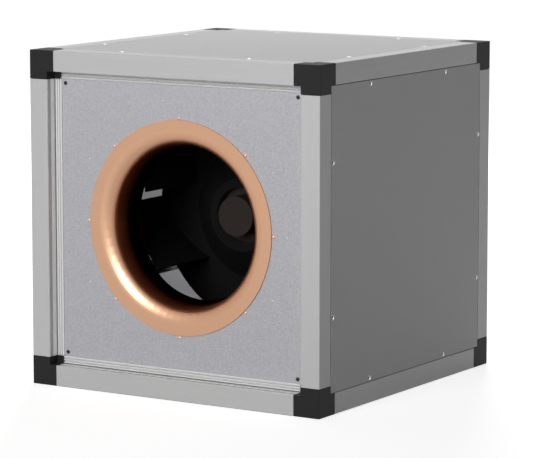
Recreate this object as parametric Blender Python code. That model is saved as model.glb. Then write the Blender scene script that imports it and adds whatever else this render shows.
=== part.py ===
"""Centrifugal box fan: an aluminium profile cube with panels, a bell-mouth inlet and a plug impeller.

The inlet faces -Y. X is to the right of someone who faces the inlet, and the floor is at Z = 0.
"""

import math

import bmesh
import bpy
from mathutils import Matrix, Vector

# Casing
BOX = 0.500
PROFILE = 0.031
PROFILE_WALL = 0.002
PROFILE_EDGE = 0.0012
CHANNEL_START = 0.002
CHANNEL_END = 0.009
CHANNEL_DEPTH = 0.0008
CAP_LEG = 0.0427
CAP_EDGE = 0.0008
SPIGOT_LENGTH = 0.024
PANEL = 0.0185
PANEL_GAP = 0.0008
PANEL_SINK = 0.0002
PANEL_BEND = 0.0018
SCREW_INSET = 0.03675
SCREW_OFFSET = 0.110
SCREW_HOLE = 0.0037
SCREW_SIDES = 12
SKIN = 0.001
FIN = 0.0012
RIBS = 3
RIB_HEIGHT = 0.0018
RIB_FOOT = 0.003
RIB_TOP = 0.0008
RIB_PITCH = 0.004
GAP = 0.0003

# Inlet
PLATE = 0.0015
PLATE_RETURN = 0.012
NOZZLE_SHEET = 0.0015
FLANGE_RADIUS = 0.1576
ROLL_START = 0.1425
ROLL_RADIUS = 0.022
ROLL_STEPS = 9
NOZZLE_END = 0.1133
NOZZLE_DEPTH = 0.0632
CONE_ANGLE = math.radians(8)

# Impeller
WHEEL_RADIUS = 0.175
WHEEL_DEPTH = 0.2325
OUTLET_WIDTH = 0.1025
RUNNING_GAP = 0.0055
NOZZLE_OVERLAP = 0.0035
COLLAR = 0.005
FLARE_STEPS = 8
WHEEL_SHEET = 0.002
BLADES = 6
BLADE_SHEET = 0.002
BLADE_INNER_RADIUS = 0.1157
BLADE_SWEEP = math.radians(-45.2)
BLADE_START = math.radians(221.2)
BLADE_STEPS = 12
BLADE_CLEARANCE = 0.0012
HUB_RING_INNER = 0.0425
HUB_RING_OUTER = 0.055
HUB_HEIGHT = 0.0465
CONE_TO_BLADE = 0.0107

# Motor
ROTOR_RADIUS = 0.052
ROTOR_LENGTH = 0.092
NOSE_RADIUS = 0.030
NOSE_HEIGHT = 0.0175
NOSE_RECESS = 0.012
SHAFT_RADIUS = 0.010
SHAFT_LENGTH = 0.060
STATOR_RADIUS = 0.060
STATOR_LENGTH = 0.010
MOTOR_GAP = 0.0055

# Motor support
SUPPORT_PLATE = 0.003
SUPPORT_DISC = 0.072
ARM_WIDTH = 0.028
STRUT_CLEARANCE = 0.006
STRUT_SHEET = 0.003
STRUT_WIDTH = 0.024
STRUT_FOOT = 0.019
STRUT_ANGLES = (30, 150, 210, 330)

TURNS = 64
HALF = BOX / 2
FIN_TOP = PANEL + GAP
FIN_FLOOR = FIN_TOP + RIB_HEIGHT
FIN_BACK = FIN_FLOOR + FIN
FIN_EDGE = CAP_LEG - GAP
PLATE_FRONT = FIN_BACK + GAP
NOZZLE_FRONT = PLATE_FRONT - GAP - NOZZLE_SHEET
NOZZLE_BACK = NOZZLE_FRONT + NOZZLE_DEPTH
COLLAR_RADIUS = NOZZLE_END + NOZZLE_SHEET + RUNNING_GAP
SHROUD_FRONT = NOZZLE_BACK - NOZZLE_OVERLAP
SHROUD_BACK = WHEEL_DEPTH - OUTLET_WIDTH
HUB_CONE_FOOT = BLADE_INNER_RADIUS - CONE_TO_BLADE
STRUT_CIRCLE = WHEEL_RADIUS + STRUT_CLEARANCE
ROTOR_FRONT = WHEEL_DEPTH - HUB_HEIGHT + WHEEL_SHEET + GAP
ROTOR_BACK = ROTOR_FRONT + ROTOR_LENGTH
STATOR_FRONT = ROTOR_BACK + MOTOR_GAP
SUPPORT_FRONT = STATOR_FRONT + STATOR_LENGTH + GAP


def clear_scene():
    for item in list(bpy.data.objects):
        bpy.data.objects.remove(item, do_unlink=True)


def finish(name, color, roughness, metallic):
    """A plain finish. The colour is linear red, green and blue."""
    material = bpy.data.materials.new(name)
    material.use_nodes = True
    shader = material.node_tree.nodes["Principled BSDF"]
    shader.inputs["Base Color"].default_value = (*color, 1)
    shader.inputs["Roughness"].default_value = roughness
    shader.inputs["Metallic"].default_value = metallic
    material.diffuse_color = (*color, 1)
    return material


def solid(name, bm, material, parent=None, smooth=None):
    """Turns a bmesh into a named object. Its faces are made to point out first."""
    bmesh.ops.recalc_face_normals(bm, faces=bm.faces)
    mesh = bpy.data.meshes.new(name)
    bm.to_mesh(mesh)
    bm.free()
    mesh.materials.append(material)
    if smooth is not None:
        mesh.shade_smooth()
        mesh.set_sharp_from_angle(angle=math.radians(smooth))
    item = bpy.data.objects.new(name, mesh)
    bpy.context.scene.collection.objects.link(item)
    item.parent = parent
    return item


def loop_edges(bm, points):
    """A closed ring of edges through the points."""
    verts = [bm.verts.new(point) for point in points]
    return [bm.edges.new((a, b)) for a, b in zip(verts, verts[1:] + verts[:1])]


def extruded(outlines, direction):
    """A prism: the first outline is its edge, and any others are holes through it."""
    bm = bmesh.new()
    edges = [edge for outline in outlines for edge in loop_edges(bm, outline)]
    faces = bmesh.ops.triangle_fill(bm, edges=edges, use_beauty=True)["geom"]
    faces = [item for item in faces if isinstance(item, bmesh.types.BMFace)]
    grown = bmesh.ops.extrude_face_region(bm, geom=faces, use_keep_orig=True)["geom"]
    moved = [item for item in grown if isinstance(item, bmesh.types.BMVert)]
    bmesh.ops.translate(bm, verts=moved, vec=direction)
    return bm


def block(low, high):
    bm = bmesh.new()
    size = [b - a for a, b in zip(low, high)]
    centre = [(a + b) / 2 for a, b in zip(low, high)]
    bmesh.ops.create_cube(bm, size=1, matrix=Matrix.Translation(centre) @ Matrix.Diagonal((*size, 1)))
    return bm


def rounded(bm, radius, edges):
    """Rounds the given edges of a block, as moulding and sheet bending do."""
    bmesh.ops.bevel(bm, geom=edges, offset=radius, segments=2, profile=0.5, affect="EDGES", material=-1)
    return bm


def turned(outline, steps=TURNS):
    """A ring turned about the Y axis from a closed outline of (radius, depth) points."""
    bm = bmesh.new()
    edges = loop_edges(bm, [(radius, depth, 0) for radius, depth in outline])
    verts = [edge.verts[0] for edge in edges]
    bmesh.ops.spin(bm, geom=verts + edges, cent=(0, 0, 0), axis=(0, 1, 0), angle=math.tau,
                   steps=steps, use_merge=True)
    bmesh.ops.remove_doubles(bm, verts=bm.verts, dist=1e-6)
    return bm


def shaft_like(outline, steps=TURNS):
    """A solid of revolution about the Y axis. The outline starts and ends on the axis."""
    bm = bmesh.new()
    verts = [bm.verts.new((radius, depth, 0)) for radius, depth in outline]
    edges = [bm.edges.new(pair) for pair in zip(verts, verts[1:])]
    bmesh.ops.spin(bm, geom=verts + edges, cent=(0, 0, 0), axis=(0, 1, 0), angle=math.tau,
                   steps=steps, use_merge=True)
    bmesh.ops.remove_doubles(bm, verts=bm.verts, dist=1e-6)
    return bm


def boolean(item, cutter, operation):
    """Adds or removes the cutter's shape. The cutter stays hidden as a helper."""
    cutter.hide_render = True
    cutter.display_type = "WIRE"
    modifier = item.modifiers.new(cutter.name, "BOOLEAN")
    modifier.operation = operation
    modifier.solver = "EXACT"
    modifier.object = cutter


def empty(name, location, parent=None):
    item = bpy.data.objects.new(name, None)
    item.location = location
    item.parent = parent
    bpy.context.scene.collection.objects.link(item)
    return item


def ribbed_fin():
    """Points along a panel fin, from its root at the tube to its free edge, with its sealing ribs."""
    points = [(PROFILE, FIN_FLOOR)]
    for index in reversed(range(RIBS)):
        middle = FIN_EDGE - RIB_FOOT / 2 - RIB_PITCH * index
        points += [(middle - RIB_FOOT / 2, FIN_FLOOR), (middle - RIB_TOP / 2, FIN_TOP),
                   (middle + RIB_TOP / 2, FIN_TOP), (middle + RIB_FOOT / 2, FIN_FLOOR)]
    return [*points, (FIN_EDGE, FIN_BACK), (PROFILE, FIN_BACK)]


def profile_half():
    """Half of the frame extrusion's section: one wall with its shallow channel, and one ribbed fin."""
    soft = PROFILE_EDGE * (1 - math.sqrt(0.5))
    sunk = PROFILE - CHANNEL_DEPTH
    return [(soft, soft), (PROFILE_EDGE, 0), (PROFILE - PROFILE_EDGE, 0), (PROFILE - soft, soft),
            (PROFILE, PROFILE_EDGE), (PROFILE, CHANNEL_START), (sunk, CHANNEL_START),
            (sunk, CHANNEL_END), (PROFILE, CHANNEL_END), *ribbed_fin()]


def profile_outlines():
    """The frame extrusion's section, from its outer corner: a square tube and two panel fins."""
    half = profile_half()
    mirrored = [(across, along) for along, across in half[:0:-1]]
    near = PROFILE_WALL
    far = PROFILE - PROFILE_WALL
    return [*half, (PROFILE, PROFILE), *mirrored], [(near, near), (far, near), (far, far), (near, far)]


def profile(name, axis, side_u, side_v, material, parent):
    """One of the twelve frame profiles. It runs along axis, at the side_u, side_v edge of the cube."""
    others = [index for index in range(3) if index != axis]
    start = -HALF + CAP_LEG + GAP

    def place(point):
        place_at = [0, 0, 0]
        place_at[axis] = start
        place_at[others[0]] = side_u * (HALF - point[0])
        place_at[others[1]] = side_v * (HALF - point[1])
        return place_at

    direction = [0, 0, 0]
    direction[axis] = -2 * start
    outlines = [[place(point) for point in outline] for outline in profile_outlines()]
    return solid(name, extruded(outlines, direction), material, parent)


def frame_profiles(material, parent):
    sides = ((-1, "left"), (1, "right"))
    heights = ((-1, "bottom"), (1, "top"))
    faces = ((-1, "front"), (1, "rear"))
    for side, side_name in sides:
        for face, face_name in faces:
            profile(f"{face_name}_{side_name}_post", 2, side, face, material, parent)
    for height, height_name in heights:
        for face, face_name in faces:
            profile(f"{face_name}_{height_name}_rail", 0, face, height, material, parent)
        for side, side_name in sides:
            profile(f"{height_name}_{side_name}_side_rail", 1, side, height, material, parent)


def corner_piece(name, signs, material, parent):
    """A moulded corner: a cube with a seat for each panel corner, and a spigot into each profile."""
    def place(low, high):
        points = [[sign * (HALF - value) for sign, value in zip(signs, corner)] for corner in (low, high)]
        return [min(pair) for pair in zip(*points)], [max(pair) for pair in zip(*points)]

    cube = block(*place((0, 0, 0), (CAP_LEG,) * 3))
    item = solid(name, rounded(cube, CAP_EDGE, cube.edges[:]), material, parent)
    reach = CAP_LEG + GAP
    for axis in range(3):
        low = [PROFILE] * 3
        high = [reach] * 3
        low[axis], high[axis] = -GAP, FIN_TOP
        seat = solid(f"{name}_seat_{axis}", block(*place(low, high)), material, parent)
        boolean(item, seat, "DIFFERENCE")
        low = [PROFILE_WALL + GAP] * 3
        high = [PROFILE - PROFILE_WALL - GAP] * 3
        low[axis], high[axis] = CAP_LEG / 2, CAP_LEG + SPIGOT_LENGTH
        spigot = solid(f"{name}_spigot_{axis}", block(*place(low, high)), material, parent)
        boolean(item, spigot, "UNION")
    return item


def corner_pieces(material, parent):
    for x, x_name in ((-1, "left"), (1, "right")):
        for y, y_name in ((-1, "front"), (1, "rear")):
            for z, z_name in ((-1, "bottom"), (1, "top")):
                corner_piece(f"corner_{y_name}_{z_name}_{x_name}", (x, y, z), material, parent)


def screw_holes(axis, side):
    """Cutters for a panel's screw holes: two along each edge, sunk through the outer skin only."""
    bm = bmesh.new()
    others = [index for index in range(3) if index != axis]
    edge = HALF - SCREW_INSET
    turn = Vector([index == axis for index in range(3)]).to_track_quat("Z", "Y").to_matrix().to_4x4()
    for along in (-SCREW_OFFSET, SCREW_OFFSET):
        for across in (-edge, edge):
            for pair in ((along, across), (across, along)):
                place = [side * (HALF - PANEL_SINK - SKIN / 2)] * 3
                place[others[0]], place[others[1]] = pair
                matrix = Matrix.Translation(place) @ turn
                bmesh.ops.create_cone(bm, cap_ends=True, segments=SCREW_SIDES, radius1=SCREW_HOLE,
                                      radius2=SCREW_HOLE, depth=2 * SKIN, matrix=matrix)
    return bm


def panel(name, axis, side, material, lining_material, parent):
    """A double-skinned panel: a folded outer tray and the sheet that closes it inside."""
    reach = HALF - PROFILE - PANEL_GAP
    inside = reach - SKIN - GAP

    def place(near, far, half):
        low = [-half] * 3
        high = [half] * 3
        low[axis], high[axis] = sorted((side * (HALF - near), side * (HALF - far)))
        return block(low, high)

    sheet = place(PANEL_SINK, PANEL, reach)
    face = side * (HALF - PANEL_SINK)
    bends = [edge for edge in sheet.edges if any(math.isclose(vert.co[axis], face) for vert in edge.verts)]
    tray = solid(name, rounded(sheet, PANEL_BEND, bends), material, parent)
    floor = PANEL_SINK + SKIN
    hollow = solid(f"{name}_hollow", place(floor, PANEL + SKIN, reach - SKIN), material, parent)
    boolean(tray, hollow, "DIFFERENCE")
    holes = solid(f"{name}_screw_holes", screw_holes(axis, side), material, parent)
    boolean(tray, holes, "DIFFERENCE")
    solid(f"{name}_lining", place(PANEL - GAP - SKIN, PANEL - GAP, inside), lining_material, parent)


def panels(material, lining_material, parent):
    panel("left_panel", 0, -1, material, lining_material, parent)
    panel("right_panel", 0, 1, material, lining_material, parent)
    panel("bottom_panel", 2, -1, material, lining_material, parent)
    panel("top_panel", 2, 1, material, lining_material, parent)


def circle(radius, depth, steps=TURNS):
    angles = [math.tau * index / steps for index in range(steps)]
    return [(radius * math.cos(angle), depth, radius * math.sin(angle)) for angle in angles]


def notched_square(reach, notch, depth):
    """A square with its four corners cut out around the corner pieces."""
    points = []
    for x, z in ((1, 1), (-1, 1), (-1, -1), (1, -1)):
        corner = [(x * reach, depth, z * notch), (x * notch, depth, z * notch), (x * notch, depth, z * reach)]
        points += corner if x * z > 0 else corner[::-1]
    return points


def inlet_plate(material, parent):
    """The galvanised plate behind the front fins, with folded edges and the nozzle's hole."""
    reach = HALF - PROFILE - GAP
    notch = HALF - CAP_LEG - GAP
    hole = ROLL_START + 2 * GAP
    outlines = [notched_square(reach, notch, 0), circle(hole, 0)]
    item = solid("inlet_plate", extruded(outlines, (0, PLATE, 0)), material, parent)
    item.location.y = PLATE_FRONT
    for index, (x, z) in enumerate(((1, 0), (-1, 0), (0, 1), (0, -1))):
        low = [-notch, PLATE / 2, -notch]
        high = [notch, PLATE_RETURN, notch]
        for axis, sign in ((0, x), (2, z)):
            if sign:
                low[axis], high[axis] = sorted((sign * reach, sign * (reach - PLATE)))
        fold = solid(f"inlet_plate_fold_{index}", block(low, high), material, parent)
        fold.location.y = PLATE_FRONT
        boolean(item, fold, "UNION")
    return item


def nozzle_side(sheet):
    """The bell mouth's profile, sheet metres behind its flow side, from the flange to its end."""
    centre = NOZZLE_FRONT + ROLL_RADIUS
    radius = ROLL_RADIUS - sheet
    points = [(FLANGE_RADIUS, NOZZLE_FRONT + sheet), (ROLL_START, NOZZLE_FRONT + sheet)]
    for index in range(1, ROLL_STEPS + 1):
        angle = (math.pi / 2 - CONE_ANGLE) * index / ROLL_STEPS
        points.append((ROLL_START - radius * math.sin(angle), centre - radius * math.cos(angle)))
    points.append((NOZZLE_END + sheet, NOZZLE_BACK))
    return points


def inlet_nozzle(material, parent):
    outline = nozzle_side(0) + nozzle_side(NOZZLE_SHEET)[::-1]
    return solid("inlet_nozzle", turned(outline, TURNS), material, parent, smooth=30)


def shroud_radius_and_depth(turn, sheet):
    """A point of the shroud's flare, for turn from 0 at the collar to a quarter turn at the rim."""
    wide = WHEEL_RADIUS - COLLAR_RADIUS
    deep = SHROUD_BACK - SHROUD_FRONT - COLLAR
    radius = COLLAR_RADIUS + wide * (1 - math.cos(turn)) + sheet * math.cos(turn)
    depth = SHROUD_FRONT + COLLAR + deep * math.sin(turn) - sheet * math.sin(turn)
    return radius, depth


def shroud(material, parent):
    turns = [math.pi / 2 * index / FLARE_STEPS for index in range(FLARE_STEPS + 1)]
    inner = [(COLLAR_RADIUS, SHROUD_FRONT)] + [shroud_radius_and_depth(turn, 0) for turn in turns]
    outer = [(COLLAR_RADIUS + WHEEL_SHEET, SHROUD_FRONT)]
    outer += [shroud_radius_and_depth(turn, WHEEL_SHEET) for turn in turns]
    return solid("impeller_shroud", turned(inner + outer[::-1]), material, parent, smooth=30)


def backplate(material, parent):
    """The wheel's back disc, which rises as a cone to the ring that the motor's rotor bolts to."""
    top = WHEEL_DEPTH - HUB_HEIGHT
    front = [(WHEEL_RADIUS, WHEEL_DEPTH), (HUB_CONE_FOOT, WHEEL_DEPTH), (HUB_RING_OUTER, top), (HUB_RING_INNER, top)]
    back = [(radius, depth + WHEEL_SHEET) for radius, depth in front]
    back[1] = (HUB_CONE_FOOT - WHEEL_SHEET / 2, WHEEL_DEPTH + WHEEL_SHEET)
    back[2] = (HUB_RING_OUTER - WHEEL_SHEET / 2, top + WHEEL_SHEET)
    return solid("impeller_backplate", turned(front + back[::-1]), material, parent, smooth=20)


def shroud_depth_at(radius):
    """How deep the flow side of the shroud is at a radius, kept clear of the blade by the gap."""
    beyond = max(radius - COLLAR_RADIUS, 0) + BLADE_CLEARANCE
    turn = math.acos(max(0, 1 - beyond / (WHEEL_RADIUS - COLLAR_RADIUS)))
    return shroud_radius_and_depth(turn, 0)[1] + GAP


def blade(index, material, parent):
    """A backward-curved blade along a logarithmic spiral, between the shroud and the backplate."""
    outer = WHEEL_RADIUS - 2 * GAP
    growth = math.log(outer / BLADE_INNER_RADIUS) / BLADE_SWEEP
    lean = math.atan(growth)
    start = BLADE_START + math.tau * index / BLADES

    def section(step):
        turn = BLADE_SWEEP * step / BLADE_STEPS
        radius = BLADE_INNER_RADIUS * math.exp(growth * turn)
        angle = start + turn
        across = angle - lean
        side = Vector((math.cos(across), 0, math.sin(across))) * BLADE_SHEET / 2
        middle = Vector((math.cos(angle), 0, math.sin(angle))) * radius
        back = Vector((0, WHEEL_DEPTH - GAP, 0))
        faces = [middle - side, middle + side]
        fronts = [point + Vector((0, shroud_depth_at(point.length), 0)) for point in faces]
        return [*fronts, faces[1] + back, faces[0] + back]

    bm = bmesh.new()
    rings = [[bm.verts.new(point) for point in section(step)] for step in range(BLADE_STEPS + 1)]
    for near, far in zip(rings, rings[1:]):
        for corner in range(len(near)):
            bm.faces.new((near[corner - 1], near[corner], far[corner], far[corner - 1]))
    bm.faces.new(rings[0])
    bm.faces.new(rings[-1])
    return solid(f"impeller_blade_{index + 1}", bm, material, parent, smooth=30)


def rotor(material, parent):
    """The external rotor: a can with a recessed front, a round nose and a bore for the shaft."""
    floor = ROTOR_FRONT + NOSE_RECESS
    bore = SHAFT_RADIUS + GAP
    outline = [
        (0, ROTOR_FRONT - NOSE_HEIGHT), (NOSE_RADIUS, ROTOR_FRONT - NOSE_HEIGHT), (NOSE_RADIUS, floor),
        (HUB_RING_INNER - GAP, floor), (HUB_RING_INNER - GAP, ROTOR_FRONT), (ROTOR_RADIUS, ROTOR_FRONT),
        (ROTOR_RADIUS, ROTOR_BACK), (bore, ROTOR_BACK), (bore, ROTOR_BACK - SHAFT_LENGTH),
        (0, ROTOR_BACK - SHAFT_LENGTH),
    ]
    return solid("motor_rotor", shaft_like(outline), material, parent, smooth=30)


def stator(material, parent):
    """The motor's fixed flange, with the shaft that carries the rotor."""
    back = STATOR_FRONT + STATOR_LENGTH
    outline = [
        (0, ROTOR_BACK - SHAFT_LENGTH + GAP), (SHAFT_RADIUS, ROTOR_BACK - SHAFT_LENGTH + GAP),
        (SHAFT_RADIUS, STATOR_FRONT), (STATOR_RADIUS, STATOR_FRONT), (STATOR_RADIUS, back), (0, back),
    ]
    return solid("motor_flange", shaft_like(outline), material, parent, smooth=30)


def motor_cross(material, parent):
    """The plate behind the motor, with an arm out to each strut."""
    outline = [(0, SUPPORT_FRONT), (SUPPORT_DISC, SUPPORT_FRONT),
               (SUPPORT_DISC, SUPPORT_FRONT + SUPPORT_PLATE), (0, SUPPORT_FRONT + SUPPORT_PLATE)]
    item = solid("motor_cross", shaft_like(outline), material, parent, smooth=30)
    reach = STRUT_CIRCLE + STRUT_FOOT
    for index, angle in enumerate(STRUT_ANGLES[:2]):
        low = (-reach, SUPPORT_FRONT, -ARM_WIDTH / 2)
        high = (reach, SUPPORT_FRONT + SUPPORT_PLATE, ARM_WIDTH / 2)
        arm = solid(f"motor_cross_arm_{index}", block(low, high), material, parent)
        arm.rotation_euler.y = -math.radians(angle)
        boolean(item, arm, "UNION")
    return item


def strut(index, angle, material, parent):
    """A folded strap from the inlet plate to the motor cross, with a foot turned out at each end."""
    near = PLATE_FRONT + PLATE + GAP
    far = SUPPORT_FRONT - GAP
    inner, outer = STRUT_CIRCLE, STRUT_CIRCLE + STRUT_SHEET
    reach = STRUT_CIRCLE + STRUT_FOOT
    half = STRUT_WIDTH / 2
    outline = [(inner, near), (reach, near), (reach, near + STRUT_SHEET), (outer, near + STRUT_SHEET),
               (outer, far - STRUT_SHEET), (reach, far - STRUT_SHEET), (reach, far), (inner, far)]
    bm = extruded([[(x, y, -half) for x, y in outline]], (0, 0, STRUT_WIDTH))
    item = solid(f"motor_strut_{index + 1}", bm, material, parent)
    item.rotation_euler.y = -math.radians(angle)
    return item


def main():
    clear_scene()
    aluminium = finish("mill aluminium", (0.50, 0.50, 0.50), 0.35, 1.0)
    black = finish("black moulded polyamide", (0.030, 0.030, 0.030), 0.5, 0.0)
    casing_sheet = finish("coated steel sheet", (0.40, 0.40, 0.40), 0.4, 0.6)
    lining_sheet = finish("galvanised lining", (0.42, 0.42, 0.43), 0.45, 0.8)
    plate_sheet = finish("galvanised plate", (0.38, 0.38, 0.41), 0.5, 0.7)
    copper = finish("copper lacquered steel", (0.60, 0.34, 0.19), 0.35, 0.9)
    wheel_black = finish("black enamelled steel", (0.012, 0.012, 0.012), 0.5, 0.0)
    motor_paint = finish("dark motor paint", (0.022, 0.020, 0.018), 0.45, 0.2)
    zinc = finish("zinc plated steel", (0.45, 0.45, 0.46), 0.4, 0.9)

    casing = empty("casing", (0, 0, HALF))
    frame_profiles(aluminium, casing)
    corner_pieces(black, casing)
    panels(casing_sheet, lining_sheet, casing)

    inlet = empty("inlet", (0, -HALF, 0), casing)
    inlet_plate(plate_sheet, inlet)
    inlet_nozzle(copper, inlet)
    stator(motor_paint, inlet)
    motor_cross(zinc, inlet)
    for index, angle in enumerate(STRUT_ANGLES):
        strut(index, angle, zinc, inlet)

    wheel = empty("wheel_axis", (0, 0, 0), inlet)
    shroud(wheel_black, wheel)
    backplate(wheel_black, wheel)
    for index in range(BLADES):
        blade(index, wheel_black, wheel)
    rotor(motor_paint, wheel)


main()
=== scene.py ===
"""Looks of the centrifugal box fan: its finishes, its screws and rivets, the studio and the camera.

The inlet faces -Y, X is to the right of someone who faces it, and the floor is at Z = 0.
"""

import itertools
import math

import bmesh
import bpy
from mathutils import Matrix, Vector


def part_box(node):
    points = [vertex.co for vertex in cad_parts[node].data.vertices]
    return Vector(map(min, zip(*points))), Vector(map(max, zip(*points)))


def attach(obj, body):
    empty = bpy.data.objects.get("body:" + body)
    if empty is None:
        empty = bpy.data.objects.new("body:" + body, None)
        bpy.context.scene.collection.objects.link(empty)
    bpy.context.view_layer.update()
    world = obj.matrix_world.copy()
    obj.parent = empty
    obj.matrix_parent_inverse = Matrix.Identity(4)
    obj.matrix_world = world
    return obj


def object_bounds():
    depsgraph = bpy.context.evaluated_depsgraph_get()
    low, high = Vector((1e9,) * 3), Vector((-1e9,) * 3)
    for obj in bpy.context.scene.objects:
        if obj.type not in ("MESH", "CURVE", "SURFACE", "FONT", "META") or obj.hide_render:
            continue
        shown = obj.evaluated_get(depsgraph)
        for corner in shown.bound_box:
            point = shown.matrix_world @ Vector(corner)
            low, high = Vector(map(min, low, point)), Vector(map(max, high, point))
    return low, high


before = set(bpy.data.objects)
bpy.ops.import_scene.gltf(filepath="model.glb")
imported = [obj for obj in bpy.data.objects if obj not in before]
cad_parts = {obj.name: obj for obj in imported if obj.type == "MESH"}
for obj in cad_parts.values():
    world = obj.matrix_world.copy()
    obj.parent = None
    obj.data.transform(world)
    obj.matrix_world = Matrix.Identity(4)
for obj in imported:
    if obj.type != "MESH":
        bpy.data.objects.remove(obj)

CAD_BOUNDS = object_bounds()

MM = 0.001

# The casing's own sizes and places, from the frame, in metres
LOW, HIGH = (Vector(corner) for corner in CAD_BOUNDS)
HALF = (HIGH.x - LOW.x) / 2
AXIS_HEIGHT = (LOW.z + HIGH.z) / 2
MIDDLE = Vector((0, 0, AXIS_HEIGHT))
PLATE_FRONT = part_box("inlet_plate")[0][1]
NOZZLE_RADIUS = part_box("inlet_nozzle")[1][0]
NOZZLE_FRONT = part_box("inlet_nozzle")[0][1]
CROSS_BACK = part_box("motor_cross")[1][1]
STRUT_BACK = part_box("motor_strut_1")[1][1]

# The panels' screws: from the casing's edge, and from the middle of each side
PANEL_SCREW_INSET = 0.03675
PANEL_SCREW_OFFSET = 0.110

# The inlet plate's corner screws, its small rivets as the photograph shows them, and the nozzle's rivets
PLATE_SCREW_OFFSET = 0.201
PLATE_SCREW_RADIUS = 0.0030
PLATE_RIVET_CIRCLE = 0.1835
PLATE_RIVET_ANGLES = (90, 30, 0, -30, -90, -150, 180, 150)
PLATE_RIVET_RADIUS = 0.0013
NOZZLE_RIVETS = 8
NOZZLE_RIVET_RADIUS = 0.0026

# The hexagons on the motor cross and on the struts' rear feet
STRUT_BOLT_CIRCLE = 0.1905
STRUT_BOLT_ANGLES = (30, 150, 210, 330)
HUB_BOLT_CIRCLE = 0.046
HUB_BOLT_ANGLES = (45, 135, 225, 315)
HEX_RADIUS = 0.0058
BOLT_HEIGHT = 0.0040
NUT_HEIGHT = 0.0048
STRUT_FOOT_THICKNESS = 0.0030

# How far a head or a nut sinks into what it sits on
SEAT = 0.0002

# Black strips in the gap around each panel, as painted shade of the gap: their two edges from the middle,
# and their depths
GAP_SHADE_INNER = 0.2183
GAP_SHADE_OUTER = 0.2188
GAP_SHADE_TOP = 0.0016
GAP_SHADE_FLOOR = 0.0040

# Meshes: points nearer than this are one, and edges sharper than this stay sharp
MERGE_DISTANCE = 1e-7
SHARP_ANGLE = math.radians(35)

# Painted light: the frame's aluminium is painted brighter on the fins and inside walls of the 31 mm
# profiles, which are nearer to the axis than INSIDE_REACH, and on faces that look up. SQUARE_ON is how
# squarely a face
# looks along an axis. Painted shade: grooves up to GROOVE_WIDTH are painted darker: the least light is in
# those that see GROOVE_DEEP or less of what is around them, and none is lost where a point sees GROOVE_OPEN
# or more.
INSIDE_REACH = HALF - 0.0309
INSIDE_PAINTED_LIGHT = 1.8
TOP_PAINTED_LIGHT = 1.25
SQUARE_ON = 0.9
GROOVE_WIDTH = 0.0025
GROOVE_DEEP = 0.35
GROOVE_OPEN = 0.8
GROOVE_PAINTED_SHADE_LEVEL = 0.3

# How far behind the nozzle's front the copper's painted shade goes on darkening
THROAT_PAINTED_SHADE_DEPTH = 0.042

# The band that noise values seldom leave, for colours and for roughness
TONE_BAND = (0.35, 0.65)
ROUGHNESS_BAND = (0.3, 0.7)

# The studio: the floor's size and gap, and how its glow grows away from the object, in metres
WHITE = (1, 1, 1, 1)
BLACK = (0, 0, 0, 1)
SOFT_SKY = 0.05
FLOOR_REACH = 30
FLOOR_GAP = 0.0005
FLOOR_PAINT = (0.5, 0.5, 0.5, 1)
NEAR_GLOW = 0.765
GLOW_FROM = 0.8
GLOW_TO = 3.0

# The photograph's view, and how far the camera sees
FRAME_WIDTH = 547
SENSOR = 36.0
FOCAL_PIXELS = 2975.8
CAMERA_PLACE = (2.38, -3.7625, 0.8615)
CAMERA_AZIMUTH = 32.13
CAMERA_ELEVATION = 8.18
SIGHT = 100


def linear(code):
    """An sRGB hex colour as linear red, green, blue and alpha."""
    parts = [int(code[index:index + 2], 16) / 255 for index in (1, 3, 5)]
    return (*[part / 12.92 if part <= 0.04045 else ((part + 0.055) / 1.055) ** 2.4 for part in parts], 1)


def add(tree, kind, values=None, links=None, **settings):
    """Adds a node, with its own settings, its sockets' values and what feeds them."""
    item = tree.nodes.new(kind)
    for name, value in settings.items():
        setattr(item, name, value)
    for name, value in (values or {}).items():
        item.inputs[name].default_value = value
    for name, source in (links or {}).items():
        tree.links.new(source, item.inputs[name])
    return item


def surface(name, roughness, metallic, **more):
    """A new material with its Principled shader. Returns the material, its tree and the shader."""
    material = bpy.data.materials.new(name)
    material.use_nodes = True
    tree = material.node_tree
    shader = tree.nodes["Principled BSDF"]
    shader.inputs["Roughness"].default_value = roughness
    shader.inputs["Metallic"].default_value = metallic
    for socket, value in more.items():
        shader.inputs[socket.replace("_", " ")].default_value = value
    return material, tree, shader


def place_of(tree):
    """A point's place on the object."""
    return add(tree, "ShaderNodeTexCoord").outputs["Object"]


def place_from_axis(tree):
    """A point's X, its Y and its height above the fan's axis."""
    parts = add(tree, "ShaderNodeSeparateXYZ", links={"Vector": place_of(tree)})
    height = add(tree, "ShaderNodeMath", {1: AXIS_HEIGHT}, {0: parts.outputs["Z"]}, operation="SUBTRACT")
    return parts.outputs["X"], parts.outputs["Y"], height.outputs[0]


def clouds(tree, where, grain_mm, detail=3, roughness=0.6):
    """Cloudy noise whose blotches are about grain_mm wide."""
    values = {"Scale": 1 / (grain_mm * MM), "Detail": detail, "Roughness": roughness}
    return add(tree, "ShaderNodeTexNoise", values, {"Vector": where}).outputs["Fac"]


def tones(tree, shader, value, dark, light):
    """Colours the shader from dark to light by a noise value."""
    ramp = add(tree, "ShaderNodeValToRGB", links={"Fac": value})
    for element, position, code in zip(ramp.color_ramp.elements, TONE_BAND, (dark, light)):
        element.position = position
        element.color = linear(code)
    tree.links.new(ramp.outputs["Color"], shader.inputs["Base Color"])


def multiply_tone(tree, shader, factor):
    """Multiplies the shader's colour by a value or a colour."""
    tone = shader.inputs["Base Color"].links[0].from_socket
    product = add(tree, "ShaderNodeVectorMath", links={0: tone, 1: factor}, operation="MULTIPLY")
    tree.links.new(product.outputs[0], shader.inputs["Base Color"])


def relief(tree, shader, value, depth_mm):
    """Fine surface relief of a real depth."""
    bump = add(tree, "ShaderNodeBump", {"Distance": depth_mm * MM}, {"Height": value})
    tree.links.new(bump.outputs["Normal"], shader.inputs["Normal"])


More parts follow.
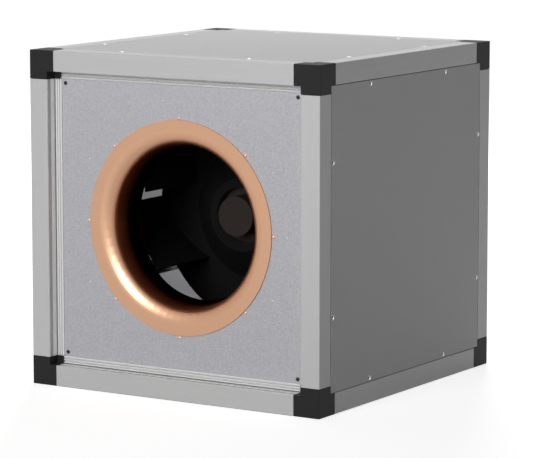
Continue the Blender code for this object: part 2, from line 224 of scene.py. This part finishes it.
def vary_roughness(tree, shader, value, low, high):
    """Spreads the shader's roughness from low to high by a noise value."""
    band = {"From Min": ROUGHNESS_BAND[0], "From Max": ROUGHNESS_BAND[1], "To Min": low, "To Max": high}
    spread = add(tree, "ShaderNodeMapRange", band, {"Value": value})
    tree.links.new(spread.outputs[0], shader.inputs["Roughness"])


def facing(tree, axis):
    """How squarely a face looks along an axis, from -1 to 1."""
    normal = add(tree, "ShaderNodeNewGeometry").outputs["True Normal"]
    return add(tree, "ShaderNodeSeparateXYZ", links={"Vector": normal}).outputs[axis]


def inside_the_frame(tree):
    """1 on the profiles' fins and inside walls, but not on the faces square to the fan's axis: where light
    is painted.
    """
    across, _, height = place_from_axis(tree)
    sides = [add(tree, "ShaderNodeMath", links={0: value}, operation="ABSOLUTE").outputs[0]
             for value in (across, height)]
    reach = add(tree, "ShaderNodeMath", links={0: sides[0], 1: sides[1]}, operation="MAXIMUM")
    inside = add(tree, "ShaderNodeMath", {1: INSIDE_REACH}, {0: reach.outputs[0]}, operation="LESS_THAN")
    ahead = add(tree, "ShaderNodeMath", links={0: facing(tree, "Y")}, operation="ABSOLUTE")
    wall = add(tree, "ShaderNodeMath", {1: SQUARE_ON}, {0: ahead.outputs[0]}, operation="LESS_THAN")
    return add(tree, "ShaderNodeMath", links={0: inside.outputs[0], 1: wall.outputs[0]},
               operation="MULTIPLY").outputs[0]


def frame_painted_light_and_shade(tree):
    """What the frame's colour is multiplied by: painted light on inside walls and upper faces, painted
    shade in grooves.
    """
    inside = inside_the_frame(tree)
    upward = add(tree, "ShaderNodeMath", {1: SQUARE_ON}, {0: facing(tree, "Z")}, operation="GREATER_THAN")
    # Painted light: inside walls and faces that look up are painted brighter.
    gains = [add(tree, "ShaderNodeMapRange", {"To Min": 1.0, "To Max": most}, {"Value": value}).outputs[0]
             for most, value in ((INSIDE_PAINTED_LIGHT, inside), (TOP_PAINTED_LIGHT, upward.outputs[0]))]
    gain = add(tree, "ShaderNodeMath", links={0: gains[0], 1: gains[1]}, operation="MAXIMUM")
    # Painted shade: grooves are painted darker where a point sees little of what is around it.
    groove = add(tree, "ShaderNodeAmbientOcclusion", {"Distance": GROOVE_WIDTH}, samples=8)
    depth = {"From Min": GROOVE_DEEP, "From Max": GROOVE_OPEN, "To Min": GROOVE_PAINTED_SHADE_LEVEL}
    shade = add(tree, "ShaderNodeMapRange", depth, {"Value": groove.outputs["AO"]})
    return add(tree, "ShaderNodeMath", links={0: gain.outputs[0], 1: shade.outputs[0]},
               operation="MULTIPLY").outputs[0]


def drawn_aluminium(axis):
    """Extruded aluminium, mill finish: dull silver with faint die lines along the profile, and painted
    light and shade.
    """
    name = f"mill finish aluminium along {axis}"
    material, tree, shader = surface(name, 0.5, 0.1, Specular_IOR_Level=0.45)
    stretch = [1, 1, 1]
    stretch["xyz".index(axis)] = 0.01
    along = add(tree, "ShaderNodeMapping", {"Scale": stretch}, {"Vector": place_of(tree)})
    lines = clouds(tree, along.outputs["Vector"], 1.6)
    tones(tree, shader, lines, "#B9B9B9", "#BDBDBD")
    # Painted light on inside walls and upward faces, painted shade in the grooves.
    multiply_tone(tree, shader, frame_painted_light_and_shade(tree))
    relief(tree, shader, lines, 0.006)
    vary_roughness(tree, shader, lines, 0.40, 0.46)
    return material


def moulded_polyamide():
    """Black glass-filled polyamide, spark-eroded mould grain: a matt black that is never quite even."""
    material, tree, shader = surface("black moulded polyamide", 0.5, 0.0, Specular_IOR_Level=0.1)
    grain = clouds(tree, place_of(tree), 0.7, detail=2)
    tones(tree, shader, grain, "#232323", "#292929")
    relief(tree, shader, grain, 0.03)
    return material


def coated_sheet(name, dark, light, grain_mm, metallic, roughness, specular=0.5):
    """Zinc coated steel sheet: dull grey, with the fine cloudy crystal of the coating."""
    material, tree, shader = surface(name, roughness, metallic, Specular_IOR_Level=specular)
    where = place_of(tree)
    tones(tree, shader, clouds(tree, where, grain_mm, detail=4, roughness=0.7), dark, light)
    vary_roughness(tree, shader, clouds(tree, where, 9), roughness - 0.06, roughness + 0.06)
    return material


def spun_copper():
    """Copper-coloured spun metal, satin: warm, with a long soft highlight, and painted shade toward the
    throat.
    """
    material, tree, shader = surface("satin spun copper", 0.35, 1.0, Specular_Tint=linear("#FF9A6A"))
    across, along, height = place_from_axis(tree)
    flat = add(tree, "ShaderNodeCombineXYZ", links={"X": across, "Y": height})
    radius = add(tree, "ShaderNodeVectorMath", links={0: flat.outputs[0]}, operation="LENGTH")
    rings = add(tree, "ShaderNodeCombineXYZ", links={"X": radius.outputs["Value"], "Y": along})
    marks = clouds(tree, rings.outputs[0], 1.2, detail=2)
    tones(tree, shader, marks, "#BA9277", "#BE9579")
    # Painted shade: the copper is warmed to orange, then darkened to near black along the throat.
    throat = {"From Min": NOZZLE_FRONT, "From Max": NOZZLE_FRONT + THROAT_PAINTED_SHADE_DEPTH}
    depth = add(tree, "ShaderNodeMapRange", throat, {"Value": along})
    painted_throat_shade = add(tree, "ShaderNodeValToRGB", links={"Fac": depth.outputs[0]})
    stops = painted_throat_shade.color_ramp.elements
    stops.new(0.5)
    for stop, position, code in zip(stops, (0.25, 0.5, 1.0), ("#FFFFFF", "#FFB48C", "#1E1410")):
        stop.position = position
        stop.color = linear(code)
    multiply_tone(tree, shader, painted_throat_shade.outputs["Color"])
    vary_roughness(tree, shader, marks, 0.34, 0.36)
    return material


def copper_rivet_painted_lighter():
    """Copper rivet heads painted paler than the nozzle, a painted highlight, with the small dents of the
    setting tool.
    """
    material, tree, shader = surface("copper rivet painted lighter", 0.5, 0.4)
    dents = clouds(tree, place_of(tree), 0.5)
    tones(tree, shader, dents, "#D8A88C", "#E4B89C")
    relief(tree, shader, dents, 0.02)
    return material


def enamel(name, dark, light, specular):
    """Stove enamel on steel: a dark coat with the fine peel of a sprayed paint."""
    material, tree, shader = surface(name, 0.6, 0.0, Specular_IOR_Level=specular)
    peel = clouds(tree, place_of(tree), 1.5, detail=2)
    tones(tree, shader, peel, dark, light)
    relief(tree, shader, peel, 0.03)
    return material


def gap_shade_black():
    """A dead matt black with fine pores: painted shade in the gaps around the panels."""
    material, tree, shader = surface("black painted gap shade", 0.9, 0.0, Specular_IOR_Level=0.1)
    pores = clouds(tree, place_of(tree), 0.4)
    tones(tree, shader, pores, "#101010", "#1C1C1C")
    relief(tree, shader, pores, 0.1)
    return material


def plated_steel(name, dark, light):
    """Zinc plate on pressed and rolled parts: silvery, slightly clouded by handling."""
    material, tree, shader = surface(name, 0.35, 0.9)
    cloud = clouds(tree, place_of(tree), 3)
    tones(tree, shader, cloud, dark, light)
    vary_roughness(tree, shader, cloud, 0.28, 0.42)
    return material


def blackened_steel():
    """Black oxide on screw heads: near black with a dull, oily sheen."""
    material, tree, shader = surface("black oxide steel", 0.45, 0.4)
    tones(tree, shader, clouds(tree, place_of(tree), 0.8), "#151515", "#222222")
    return material


def named(part):
    """The CAD nodes that have a part of a name."""
    return [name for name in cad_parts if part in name]


def dress(material, *names):
    """Gives CAD nodes a material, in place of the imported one."""
    for name in names:
        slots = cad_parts[name].data.materials
        slots.clear()
        slots.append(material)


def dress_frame():
    """Mill finish aluminium on the profiles, with its die lines along each, and black corner pieces."""
    side_rails = named("_side_rail")
    cross_rails = [name for name in named("_rail") if name not in side_rails]
    for axis, profiles in (("z", named("_post")), ("y", side_rails), ("x", cross_rails)):
        dress(drawn_aluminium(axis), *profiles)
    dress(moulded_polyamide(), *named("corner_"))


def dress_panels():
    """Three kinds of zinc coated sheet: the panels' trays, their linings and the inlet plate."""
    trays = [name for name in named("_panel") if "lining" not in name]
    dress(coated_sheet("zinc magnesium coated panel sheet", "#C9C9C9", "#CFCFCF", grain_mm=2.0,
                       metallic=0.05, roughness=0.5, specular=0.1), *trays)
    dress(coated_sheet("galvanised lining sheet", "#D0D0D2", "#DADADC", grain_mm=3.0,
                       metallic=0.1, roughness=0.5), *named("_lining"))
    dress(coated_sheet("galvanised inlet plate", "#A2A2A7", "#BCBCC2", grain_mm=1.6,
                       metallic=0.1, roughness=0.55, specular=0.3), "inlet_plate")


def piece(name, bm, material, body, slot):
    """A finished piece at the origin, riding on a CAD body."""
    bmesh.ops.remove_doubles(bm, verts=bm.verts, dist=MERGE_DISTANCE)
    bmesh.ops.recalc_face_normals(bm, faces=bm.faces)
    mesh = bpy.data.meshes.new(name)
    bm.to_mesh(mesh)
    bm.free()
    mesh.materials.append(material)
    mesh.shade_smooth()
    mesh.set_sharp_from_angle(angle=SHARP_ANGLE)
    item = bpy.data.objects.new(name, mesh)
    bpy.context.scene.collection.objects.link(item)
    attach(item, body)


def around_axis(radius, along, angle):
    """A place on a circle about the fan's axis, at a Y along it and an angle from X."""
    return Vector((radius * math.cos(angle), along, AXIS_HEIGHT + radius * math.sin(angle)))


def turned_on(bm, outline, place, way, steps=20):
    """Adds a small turned shape: outline holds (radius, height) points, height along way from place."""
    older = set(bm.verts)
    verts = [bm.verts.new((radius, 0, height)) for radius, height in outline]
    edges = [bm.edges.new(pair) for pair in zip(verts, verts[1:])]
    bmesh.ops.spin(bm, geom=verts + edges, cent=(0, 0, 0), axis=(0, 0, 1), angle=math.tau,
                   steps=steps, use_merge=True)
    turn = Vector(way).to_track_quat("Z", "Y").to_matrix().to_4x4()
    bmesh.ops.transform(bm, matrix=Matrix.Translation(place) @ turn,
                        verts=[vert for vert in bm.verts if vert not in older])


def panel_screw_places(axis):
    """Where the screws are on the two panels across an axis, and which way each faces."""
    edge = HALF - PANEL_SCREW_INSET
    others = [index for index in range(3) if index != axis]
    ends = itertools.product((-PANEL_SCREW_OFFSET, PANEL_SCREW_OFFSET), (-edge, edge))
    pairs = [pair for along, across in ends for pair in ((along, across), (across, along))]
    for side in (-1, 1):
        way = Vector([side * (index == axis) for index in range(3)])
        for pair in pairs:
            place = MIDDLE + way * HALF
            for index, shift in zip(others, pair):
                place[index] += shift
            yield place, way


def panel_screws(zinc, zinc_with_painted_light, black_screw):
    """The panels' fixings: a pressed zinc cup in each hole, with a dark screw head at its bottom.

    Outlines hold (radius, height) in millimetres, from the frame's outer faces. The cups of the top and
    bottom panels have a broader rim and are painted lighter, as painted light, so that they still show as
    white points from low down.
    """
    cup = [(3.3, -0.4), (2.5, -2.1), (1.9, -2.1), (1.9, -2.5), (2.6, -2.5), (3.4, -0.5)]
    narrow_rim = [(3.75, -0.24), (3.68, -0.12), (3.5, -0.16)]
    broad_rim = [(4.4, -0.24), (4.3, -0.06), (3.9, -0.01), (3.5, -0.06)]
    head = [(0, -1.7), (0.9, -1.7), (1.0, -1.1), (1.7, -1.2), (2.3, -1.7), (2.3, -2.2), (0, -2.2)]
    for name, outline, axes, material, slot in (
            ("side_screw_cups", narrow_rim + cup + narrow_rim[:1], (0,), zinc, "zinc_steel"),
            ("cover_screw_cups", broad_rim + cup + broad_rim[:1], (2,), zinc_with_painted_light, "zinc_steel"),
            ("panel_screws", head, (0, 2), black_screw, "motor_paint")):
        bm = bmesh.new()
        outline = [(radius * MM, height * MM) for radius, height in outline]
        for axis in axes:
            for place, way in panel_screw_places(axis):
                turned_on(bm, outline, place, way, steps=16)
        piece(name, bm, material, "casing", slot)


def gap_shade_strips():
    """The low and high corners of the four strips around each panel, from the casing's middle."""
    for axis, side, sign in itertools.product((0, 2), (-1, 1), (-1, 1)):
        across, along = [index for index in range(3) if index != axis]
        depths = sorted((side * (HALF - GAP_SHADE_TOP), side * (HALF - GAP_SHADE_FLOOR)))
        widths = sorted((sign * GAP_SHADE_INNER, sign * GAP_SHADE_OUTER))
        for run, other, reach in ((across, along, GAP_SHADE_OUTER), (along, across, GAP_SHADE_INNER)):
            spans = {axis: depths, other: widths, run: (-reach, reach)}
            yield [Vector([spans[index][end] for index in range(3)]) for end in (0, 1)]


def panel_gap_shade(gap_black):
    """Black strips in the gap between each panel and the frame, as painted shade of the gap."""
    bm = bmesh.new()
    for low, high in gap_shade_strips():
        place = Matrix.Translation(MIDDLE + (low + high) / 2)
        bmesh.ops.create_cube(bm, size=1, matrix=place @ Matrix.Diagonal((*(high - low), 1)))
    piece("panel_gap_shade", bm, gap_black, "casing", "corner_plastic")


def socket_head(radius):
    """The outline of a low round screw head with a wide socket."""
    return [(0, 0.2 * MM), (0.45 * radius, 0.2 * MM), (0.5 * radius, 0.9 * MM), (0.8 * radius, 1.0 * MM),
            (radius, 0.6 * MM), (radius, -SEAT), (0, -SEAT)]


def rivet_dome(radius):
    """The outline of a domed rivet head."""
    return [(0, 0.8 * radius), (0.5 * radius, 0.7 * radius), (0.87 * radius, 0.4 * radius), (radius, 0),
            (radius, -SEAT), (0, -SEAT)]


def plate_fixings(black_screw, zinc, copper):
    """The dark screws in the inlet plate's corners, its small rivets and the nozzle's rivets."""
    corners = [MIDDLE + Vector((x * PLATE_SCREW_OFFSET, PLATE_FRONT, z * PLATE_SCREW_OFFSET))
               for x, z in itertools.product((-1, 1), (-1, 1))]
    plate_places = [around_axis(PLATE_RIVET_CIRCLE, PLATE_FRONT, math.radians(angle))
                    for angle in PLATE_RIVET_ANGLES]
    nozzle_places = [around_axis(NOZZLE_RADIUS + NOZZLE_RIVET_RADIUS, PLATE_FRONT,
                                 math.tau * index / NOZZLE_RIVETS) for index in range(NOZZLE_RIVETS)]
    for name, outline, places, material, slot in (
            ("inlet_plate_screws", socket_head(PLATE_SCREW_RADIUS), corners, black_screw, "motor_paint"),
            ("inlet_plate_rivets", rivet_dome(PLATE_RIVET_RADIUS), plate_places, zinc, "zinc_steel"),
            ("nozzle_rivets", rivet_dome(NOZZLE_RIVET_RADIUS), nozzle_places, copper, "nozzle_copper")):
        bm = bmesh.new()
        for place in places:
            turned_on(bm, outline, place, (0, -1, 0))
        piece(name, bm, material, "casing", slot)


def hexagon(bm, circle, degrees, near, far):
    """Adds a bolt's or nut's hexagon from near to far along Y, on a circle about the fan's axis."""
    place = Matrix.Translation(around_axis(circle, (near + far) / 2, math.radians(degrees)))
    turn = Matrix.Rotation(math.pi / 2, 4, "X") @ Matrix.Rotation(math.pi / 6, 4, "Z")
    bmesh.ops.create_cone(bm, cap_ends=True, segments=6, radius1=HEX_RADIUS, radius2=HEX_RADIUS,
                          depth=far - near, matrix=place @ turn)


def motor_bolts(zinc):
    """Hex heads behind the motor cross, and the nuts in front of the struts' rear feet."""
    feet = STRUT_BACK - STRUT_FOOT_THICKNESS
    bm = bmesh.new()
    for degrees in STRUT_BOLT_ANGLES:
        hexagon(bm, STRUT_BOLT_CIRCLE, degrees, CROSS_BACK - SEAT, CROSS_BACK + BOLT_HEIGHT)
        hexagon(bm, STRUT_BOLT_CIRCLE, degrees, feet - NUT_HEIGHT, feet + SEAT)
    for degrees in HUB_BOLT_ANGLES:
        hexagon(bm, HUB_BOLT_CIRCLE, degrees, CROSS_BACK - SEAT, CROSS_BACK + BOLT_HEIGHT)
    piece("motor_bolts", bm, zinc, "casing", "zinc_steel")


def direct_rays(tree):
    """1 for the rays that show the background: the camera's, and those that metal and glass send on."""
    rays = add(tree, "ShaderNodeLightPath").outputs
    seen = rays["Is Camera Ray"]
    for other in ("Is Glossy Ray", "Is Transmission Ray"):
        seen = add(tree, "ShaderNodeMath", links={0: seen, 1: rays[other]}, operation="MAXIMUM").outputs[0]
    return seen


def white_world():
    """White to the rays that show the background, and a weak soft light to all others."""
    world = bpy.data.worlds.new("studio")
    bpy.context.scene.world = world
    world.use_nodes = True
    tree = world.node_tree
    tree.nodes.clear()
    soft = add(tree, "ShaderNodeBackground", {"Color": WHITE, "Strength": SOFT_SKY})
    white = add(tree, "ShaderNodeBackground", {"Color": WHITE, "Strength": 1.0})
    both = add(tree, "ShaderNodeMixShader",
               links={0: direct_rays(tree), 1: soft.outputs[0], 2: white.outputs[0]})
    add(tree, "ShaderNodeOutputWorld", links={"Surface": both.outputs[0]})


def lamp(name, place, size, power, glossy=True, diffuse=True):
    """A square lamp that looks at the middle of the casing."""
    light = bpy.data.lights.new(name, "AREA")
    light.size = size
    light.energy = power
    item = bpy.data.objects.new(name, light)
    item.location = place
    item.rotation_euler = (MIDDLE - Vector(place)).to_track_quat("-Z", "Y").to_euler()
    item.visible_glossy = glossy
    item.visible_diffuse = diffuse
    bpy.context.scene.collection.objects.link(item)


def floor_white():
    """The studio's white floor: white to the camera, but for the shadow that the object throws on it."""
    material = bpy.data.materials.new("studio white floor")
    material.use_nodes = True
    tree = material.node_tree
    tree.nodes.clear()
    paint = add(tree, "ShaderNodeBsdfDiffuse", {"Color": FLOOR_PAINT})
    away = add(tree, "ShaderNodeVectorMath", links={0: place_of(tree)}, operation="LENGTH")
    growth = {"From Min": GLOW_FROM, "From Max": GLOW_TO, "To Min": NEAR_GLOW, "To Max": 1.0}
    strength = add(tree, "ShaderNodeMapRange", growth, {"Value": away.outputs["Value"]})
    glow = add(tree, "ShaderNodeEmission", {"Color": WHITE}, {"Strength": strength.outputs[0]})
    dark = add(tree, "ShaderNodeEmission", {"Color": BLACK, "Strength": 0.0})
    shown = add(tree, "ShaderNodeMixShader",
                links={0: direct_rays(tree), 1: dark.outputs[0], 2: glow.outputs[0]})
    both = add(tree, "ShaderNodeAddShader", links={0: paint.outputs[0], 1: shown.outputs[0]})
    add(tree, "ShaderNodeOutputMaterial", links={"Surface": both.outputs[0]})
    return material


def studio():
    """A white room without edges, and three lamps.

    The key lights the front, the highlight lamp shows only in glossy surfaces, the nozzle's above all,
    and the fill lights the rear.
    """
    white_world()
    lamp("key", place=(0.34, -3.6, 1.4), size=1.8, power=98, glossy=False)
    lamp("highlight", place=(0.5, -2.6, 2.0), size=2.1, power=130, diffuse=False)
    lamp("rear fill", place=(-1.6, 3.0, 2.0), size=1.2, power=150, glossy=False)

    bm = bmesh.new()
    bmesh.ops.create_grid(bm, x_segments=1, y_segments=1, size=FLOOR_REACH)
    mesh = bpy.data.meshes.new("floor")
    bm.to_mesh(mesh)
    bm.free()
    mesh.materials.append(floor_white())
    floor = bpy.data.objects.new("floor", mesh)
    floor.location.z = LOW.z - FLOOR_GAP
    bpy.context.scene.collection.objects.link(floor)


def photo_camera():
    """The camera at the photograph's place and angle."""
    camera = bpy.data.cameras.new("photo camera")
    camera.sensor_width = SENSOR
    camera.lens = FOCAL_PIXELS * SENSOR / FRAME_WIDTH
    camera.clip_end = SIGHT
    item = bpy.data.objects.new("photo camera", camera)
    item.location = CAMERA_PLACE
    item.rotation_euler = (math.radians(90 - CAMERA_ELEVATION), 0, math.radians(CAMERA_AZIMUTH))
    bpy.context.scene.collection.objects.link(item)
    bpy.context.scene.camera = item


def main():
    dress_frame()
    dress_panels()
    dress(spun_copper(), "inlet_nozzle")
    dress(enamel("black wheel enamel", "#121212", "#171717", specular=0.03), *named("impeller_"))
    dress(enamel("dark motor enamel", "#282320", "#2D2825", specular=0.12), "motor_rotor", "motor_flange")
    zinc = plated_steel("zinc plated steel", "#B2B2B4", "#C2C2C4")
    # Painted light: a lighter copy of the zinc for the cups of the top and bottom panels.
    zinc_with_painted_light = plated_steel("zinc plated cups with painted light", "#E0E0E2", "#ECECEE")
    black_screw = blackened_steel()
    dress(zinc, "motor_cross", *named("motor_strut"))
    panel_screws(zinc, zinc_with_painted_light, black_screw)
    # Black strips in the panels' gaps: painted shade.
    panel_gap_shade(gap_shade_black())
    # The nozzle's rivets are painted paler: a painted highlight.
    plate_fixings(black_screw, zinc, copper_rivet_painted_lighter())
    motor_bolts(zinc)
    studio()
    photo_camera()
    bpy.context.scene.view_settings.view_transform = "Standard"


main()
